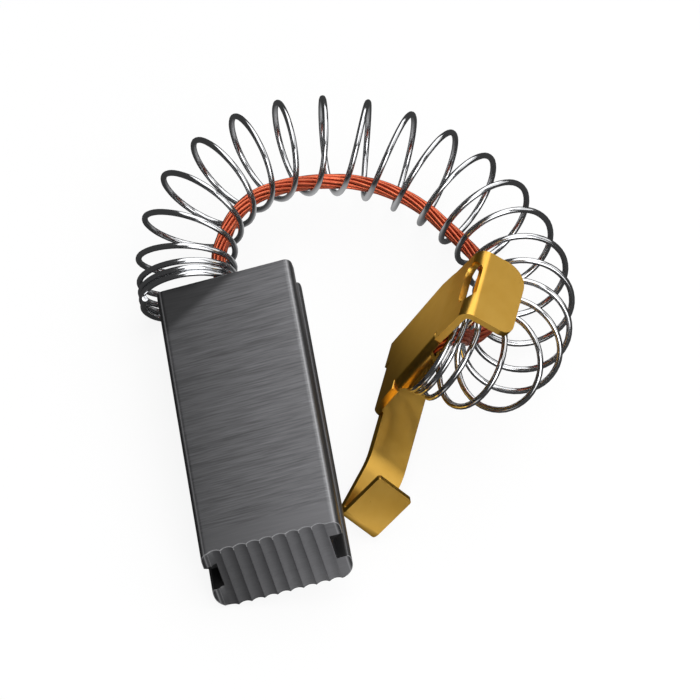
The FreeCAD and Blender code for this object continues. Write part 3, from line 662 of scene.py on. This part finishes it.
def lead_tree():
    tree, given, result = new_tree("stranded_lead", LEAD)
    line = add(tree, "GeometryNodeResampleCurve", {
        "Curve": given.outputs["Geometry"], "Length": given.outputs["Step"]}, mode="LENGTH")
    copies = add(tree, "GeometryNodeDuplicateElements", {
        "Geometry": line.outputs["Curve"], "Amount": given.outputs["Strands"]}, domain="SPLINE")
    share = add(tree, "ShaderNodeMath", {
        0: copies.outputs["Duplicate Index"], 1: given.outputs["Strands"]}, operation="DIVIDE")
    along = add(tree, "GeometryNodeSplineParameter")
    turns = add(tree, "ShaderNodeMath", {
        0: along.outputs["Length"], 1: given.outputs["Lay length"]}, operation="DIVIDE")
    turned = add(tree, "ShaderNodeMath", {0: share.outputs[0], 1: turns.outputs[0]}, operation="ADD")
    angle = add(tree, "ShaderNodeMath", {0: turned.outputs[0], 1: 2 * math.pi}, operation="MULTIPLY")
    cosine = add(tree, "ShaderNodeMath", {0: angle.outputs[0]}, operation="COSINE")
    sine = add(tree, "ShaderNodeMath", {0: angle.outputs[0]}, operation="SINE")
    ahead = add(tree, "GeometryNodeInputTangent")
    aside = add(tree, "GeometryNodeInputNormal")
    across = add(tree, "ShaderNodeVectorMath", {
        0: ahead.outputs["Tangent"], 1: aside.outputs["Normal"]}, operation="CROSS_PRODUCT")
    first = add(tree, "ShaderNodeVectorMath", {
        0: aside.outputs["Normal"], "Scale": cosine.outputs[0]}, operation="SCALE")
    second = add(tree, "ShaderNodeVectorMath", {
        0: across.outputs[0], "Scale": sine.outputs[0]}, operation="SCALE")
    outward = add(tree, "ShaderNodeVectorMath", {0: first.outputs[0], 1: second.outputs[0]}, operation="ADD")
    push = add(tree, "ShaderNodeVectorMath", {
        0: outward.outputs[0], "Scale": given.outputs["Lay radius"]}, operation="SCALE")
    laid = add(tree, "GeometryNodeSetPosition", {
        "Geometry": copies.outputs["Geometry"], "Offset": push.outputs[0]})
    strand = add(tree, "GeometryNodeCurvePrimitiveCircle", {
        "Resolution": STRAND_SIDES, "Radius": given.outputs["Strand radius"]})
    strands = add(tree, "GeometryNodeCurveToMesh", {
        "Curve": laid.outputs["Geometry"], "Profile Curve": strand.outputs["Curve"], "Fill Caps": True})
    heart = add(tree, "GeometryNodeCurvePrimitiveCircle", {
        "Resolution": CORE_SIDES, "Radius": given.outputs["Core radius"]})
    core = add(tree, "GeometryNodeCurveToMesh", {
        "Curve": line.outputs["Curve"], "Profile Curve": heart.outputs["Curve"], "Fill Caps": True})
    both = add(tree, "GeometryNodeJoinGeometry")
    tree.links.new(strands.outputs["Mesh"], both.inputs["Geometry"])
    tree.links.new(core.outputs["Mesh"], both.inputs["Geometry"])
    round_skin = add(tree, "GeometryNodeSetShadeSmooth", {"Geometry": both.outputs["Geometry"]})
    real = add(tree, "GeometryNodeRealizeInstances", {"Geometry": round_skin.outputs["Geometry"]})
    finish = add(tree, "GeometryNodeSetMaterial", {
        "Geometry": real.outputs["Geometry"], "Material": COPPER})
    tree.links.new(finish.outputs["Geometry"], result.inputs["Geometry"])
    return tree


lead = bake(lead_line, lead_tree(), "stranded_lead", LEAD)

# %% [markdown]
# Where the clip's ear grips it, the lead is pressed flat between the plate and the ear. Each point
# past the neck is moved in the clip's own frame: pressed in thickness, spread in width. The share
# of the move grows smoothly along the neck. The plug in the bore keeps the construction model's
# shape and only gets its finish.

# %% The pressed end of the lead
NECK_START, NECK_END = 1.8 * MM, 3.0 * MM
GRIP_Y, GRIP_Z = -1.85 * MM, -1.025 * MM
GRIP_REACH = 1.2 * MM
PRESSED, SPREAD = 0.47, 1.5
to_clip = clip_place.inverted()
for vertex in lead.data.vertices:
    place = to_clip @ vertex.co
    if place.x < NECK_START or abs(place.y - GRIP_Y) > GRIP_REACH or abs(place.z - GRIP_Z) > GRIP_REACH:
        continue
    share = min((place.x - NECK_START) / (NECK_END - NECK_START), 1.0)
    share = share * share * (3 - 2 * share)
    place.z += (GRIP_Z + (place.z - GRIP_Z) * PRESSED - place.z) * share
    place.y += (GRIP_Y + (place.y - GRIP_Y) * SPREAD - place.y) * share
    vertex.co = clip_place @ place
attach(lead, "root")
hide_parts("shunt")
print("lead has", len(lead.data.polygons), "faces")

nodes["tamped_plug"].data.materials.clear()
nodes["tamped_plug"].data.materials.append(POWDER)

# %% [markdown]
# The ground is a plain white sheet. Seen by the camera it shines a little of its own, so that it
# stays white in the picture while it still takes the soft shadow of the brush. In a product
# picture that is cut out to white, the metals mirror a ground far darker than the one that is
# seen. So a ray that comes from a mirroring surface meets grey paper with only a weak glow, apart
# from two soft pale pools. One is inside the spring's arc and lights its wire from below, the
# other lights the clip's edges.

# %% Floor
FLOOR_HALF = 1.2
CAMERA_SHARE = 0.9
MIRRORED_SHARE = 0.03
POOLS = [
    (Vector((-1.0, 16.0, 0.0)) * MM, 14 * MM, 0.6),
    (Vector((-3.0, -26.5, 0.0)) * MM, 11 * MM, 1.1),
]


def white_sheet():
    material, tree, output = new_material("white_paper_sheet")
    seen = add(tree, "ShaderNodeLightPath")
    colour = add(tree, "ShaderNodeMix", {
        "Factor": seen.outputs["Is Camera Ray"], "A": linear("#303030"), "B": linear("#f4f4f4")},
        data_type="RGBA")
    paper = add(tree, "ShaderNodeBsdfDiffuse", {"Color": colour.outputs["Result"]})
    glow = add(tree, "ShaderNodeEmission", {"Color": (1, 1, 1, 1), "Strength": 1.0})
    mirrored = add(tree, "ShaderNodeMath", {
        0: seen.outputs["Is Glossy Ray"], 1: seen.outputs["Is Transmission Ray"]}, operation="MAXIMUM")
    place = add(tree, "ShaderNodeTexCoord")
    pools = []
    for middle, reach, most in POOLS:
        away = add(tree, "ShaderNodeVectorMath", {
            0: place.outputs["Object"], 1: middle}, operation="DISTANCE")
        pools.append(add(tree, "ShaderNodeMapRange", {
            "Value": away.outputs["Value"], "From Min": 0.0, "From Max": reach,
            "To Min": most, "To Max": MIRRORED_SHARE}, interpolation_type="SMOOTHSTEP"))
    pool = add(tree, "ShaderNodeMath", {
        0: pools[0].outputs["Result"], 1: pools[1].outputs["Result"]}, operation="MAXIMUM")
    pale = add(tree, "ShaderNodeMath", {
        0: mirrored.outputs[0], 1: pool.outputs[0]}, operation="MULTIPLY")
    share = add(tree, "ShaderNodeMath", {
        0: seen.outputs["Is Camera Ray"], 1: CAMERA_SHARE, 2: pale.outputs[0]}, operation="MULTIPLY_ADD")
    mixed = add(tree, "ShaderNodeMixShader", {
        0: share.outputs[0], 1: paper.outputs["BSDF"], 2: glow.outputs["Emission"]})
    tree.links.new(mixed.outputs["Shader"], output.inputs["Surface"])
    return material


floor_mesh = bpy.data.meshes.new("paper_floor")
floor_mesh.from_pydata([(-FLOOR_HALF, -FLOOR_HALF, 0), (FLOOR_HALF, -FLOOR_HALF, 0),
                        (FLOOR_HALF, FLOOR_HALF, 0), (-FLOOR_HALF, FLOOR_HALF, 0)], [], [(0, 1, 2, 3)])
floor_mesh.materials.append(white_sheet())
floor = bpy.data.objects.new("paper_floor", floor_mesh)
scene.collection.objects.link(floor)

# %% [markdown]
# Four soft lamps and a dim even sky light the brush. The large one over the far side gives the
# long highlights, the one in front fills from the viewer's side, the one on the right lights the
# brass, and the low card in front gives the clip's edges something to mirror. Each is as bright
# as its radiance says, whatever its size. The sky is white only to the camera.

# %% Lamps and sky
LAMPS = [
    ("overhead_softbox", 158, 70, 0.48, 1.05, 2.1),
    ("front_softbox", 12, 33, 0.32, 0.32, 4.5),
    ("right_softbox", 88, 38, 0.45, 0.3, 1.3),
    ("front_card", 15, 8, 0.4, 0.16, 1.8),
]
LAMP_DISTANCE = 0.5
SKY_LIGHT = 0.06


def soft_lamp(name, azimuth, elevation, width, height, radiance):
    """Rectangular lamp that faces the origin from this azimuth and elevation, in degrees."""
    data = bpy.data.lights.new(name, "AREA")
    data.shape = "RECTANGLE"
    data.size = width
    data.size_y = height
    data.energy = radiance * math.pi * width * height
    lamp = bpy.data.objects.new(name, data)
    scene.collection.objects.link(lamp)
    toward = direction(azimuth, elevation)
    lamp.location = toward * LAMP_DISTANCE
    lamp.rotation_euler = toward.to_track_quat("Z", "Y").to_euler()
    print(name, "shines at", round(data.energy, 2), "watts")


for lamp_row in LAMPS:
    soft_lamp(*lamp_row)

world = bpy.data.worlds.new("plain_sky")
world.use_nodes = True
scene.world = world
sky = world.node_tree
sky.nodes.clear()
sky_output = sky.nodes.new("ShaderNodeOutputWorld")
seen = add(sky, "ShaderNodeLightPath")
bright = add(sky, "ShaderNodeMapRange", {
    "Value": seen.outputs["Is Camera Ray"], "To Min": SKY_LIGHT, "To Max": 1.0})
glow = add(sky, "ShaderNodeBackground", {"Color": (1, 1, 1, 1), "Strength": bright.outputs["Result"]})
sky.links.new(glow.outputs["Background"], sky_output.inputs["Surface"])
